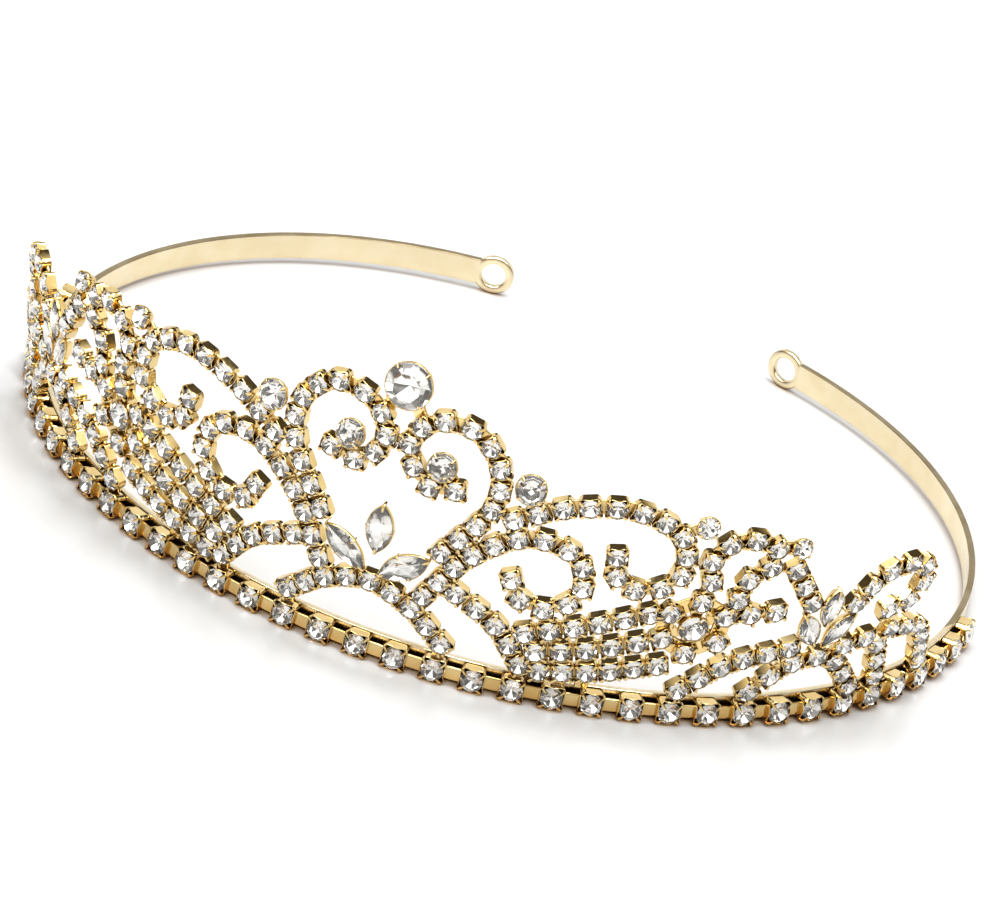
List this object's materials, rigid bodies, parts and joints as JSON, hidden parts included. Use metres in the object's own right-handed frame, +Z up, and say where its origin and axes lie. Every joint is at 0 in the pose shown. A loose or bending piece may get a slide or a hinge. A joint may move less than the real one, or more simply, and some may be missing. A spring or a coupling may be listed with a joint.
{
  "type": "tiara",
  "caption": "Gold tiara: a flat open headband with a stone-set base row and a leaning panel of heart, scroll, ray and leaf strips of stone chain.",
  "frame": {"origin": "on the surface that the tiara stands on, under the middle of its whole length and width", "axes": "+X towards the wearer's left, +Y towards the back of the head, +Z up"},
  "size_m": [0.143, 0.1357, 0.0517],
  "materials": {
    "gold": "polished gold plate",
    "crystal": "clear faceted crystal, foiled back"
  },
  "bodies": {
    "root": {"headband": "gold", "end_ring_left": "gold", "end_ring_right": "gold", "base_row_setting": "gold", "base_row_stones": "crystal", "centre_arch_setting": "gold", "centre_arch_stones": "crystal", "heart_scroll_left": "gold", "heart_scroll_right": "gold", "heart_scroll_stones": "crystal", "inner_scroll_left": "gold", "inner_scroll_right": "gold", "inner_scroll_stones": "crystal", "shoulder_scroll_left": "gold", "shoulder_scroll_right": "gold", "shoulder_scroll_stones": "crystal", "foot_strip_left": "gold", "foot_strip_right": "gold", "foot_strip_stones": "crystal", "upper_ray_left": "gold", "upper_ray_right": "gold", "middle_ray_left": "gold", "middle_ray_right": "gold", "lower_ray_left": "gold", "lower_ray_right": "gold", "ray_stones": "crystal", "flower_setting_left": "gold", "flower_setting_right": "gold", "flower_stones": "crystal", "crest_scroll_left": "gold", "crest_scroll_right": "gold", "crest_scroll_stones": "crystal", "crest_drop_left": "gold", "crest_drop_right": "gold", "crest_drop_stones": "crystal", "front_swag_left": "gold", "front_swag_right": "gold", "front_swag_stones": "crystal", "rear_swag_left": "gold", "rear_swag_right": "gold", "rear_swag_stones": "crystal", "low_loop_left": "gold", "low_loop_right": "gold", "low_loop_stones": "crystal", "end_loop_left": "gold", "end_loop_right": "gold", "end_loop_stones": "crystal", "leaf_strip_left": "gold", "leaf_strip_right": "gold", "leaf_strip_stones": "crystal", "navette_settings": "gold", "navette_stones": "crystal", "top_round_setting": "gold", "top_round_stone": "crystal", "accent_round_settings": "gold", "accent_round_stones": "crystal"}
  },
  "joints": []
}
